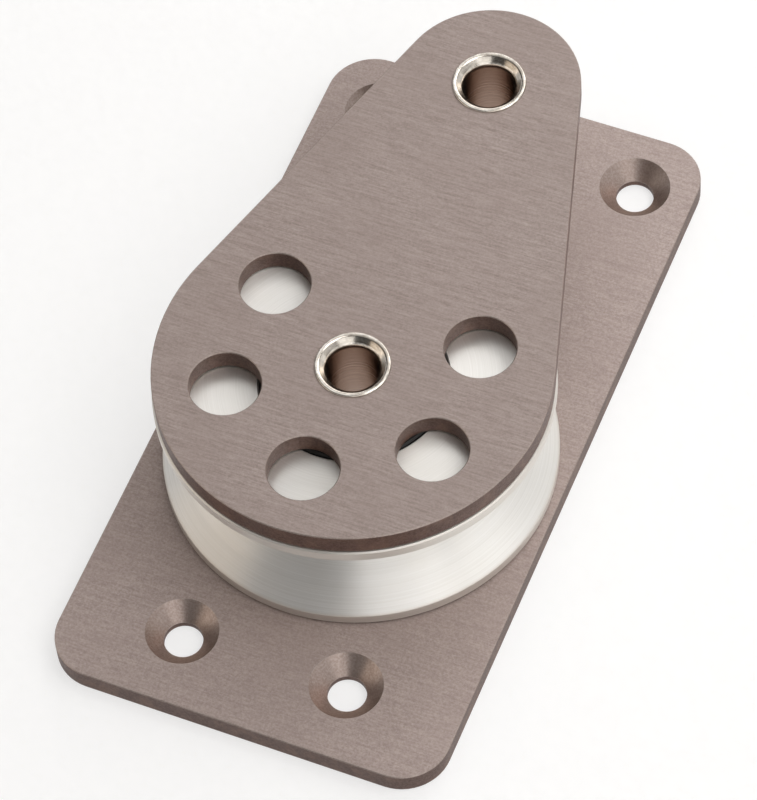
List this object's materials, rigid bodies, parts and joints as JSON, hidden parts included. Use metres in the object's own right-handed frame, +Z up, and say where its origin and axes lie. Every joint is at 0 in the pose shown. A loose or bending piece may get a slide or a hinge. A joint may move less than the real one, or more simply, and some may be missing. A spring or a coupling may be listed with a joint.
{
  "type": "wire cheek block",
  "caption": "Screw-down cheek block for wire rope: a grooved sheave turns between a flat base plate and a teardrop cheek plate joined by hollow rivets.",
  "frame": {"origin": "centre of the base plate's underside, which is the mounting face", "axes": "+X across the base plate, +Y along it from the foot to the head, +Z up out of the mounting face, along the sheave's axle"},
  "size_m": [0.07, 0.135, 0.0314],
  "materials": {
    "anodised_plate": "brushed and hard anodised, taupe grey",
    "turned_alloy": "fine turned, bright satin",
    "black_acetal": "smooth matte black",
    "plain_steel": "turned stainless steel",
    "rivet_steel": "polished stainless steel"
  },
  "bodies": {
    "frame": {"base_plate": "anodised_plate", "cheek_plate": "anodised_plate", "axle_sleeve": "plain_steel", "head_spacer": "plain_steel", "axle_rivet": "rivet_steel", "head_rivet": "rivet_steel"},
    "wheel": {"sheave": "turned_alloy", "upper_bush": "black_acetal", "lower_bush": "black_acetal"}
  },
  "joints": [
    {"name": "sheave_spin", "type": "hinge", "parent": "frame", "child": "wheel", "pos_m": [0, -0.0113, 0.0155], "axis": [0, 0, 1], "continuous": true}
  ]
}
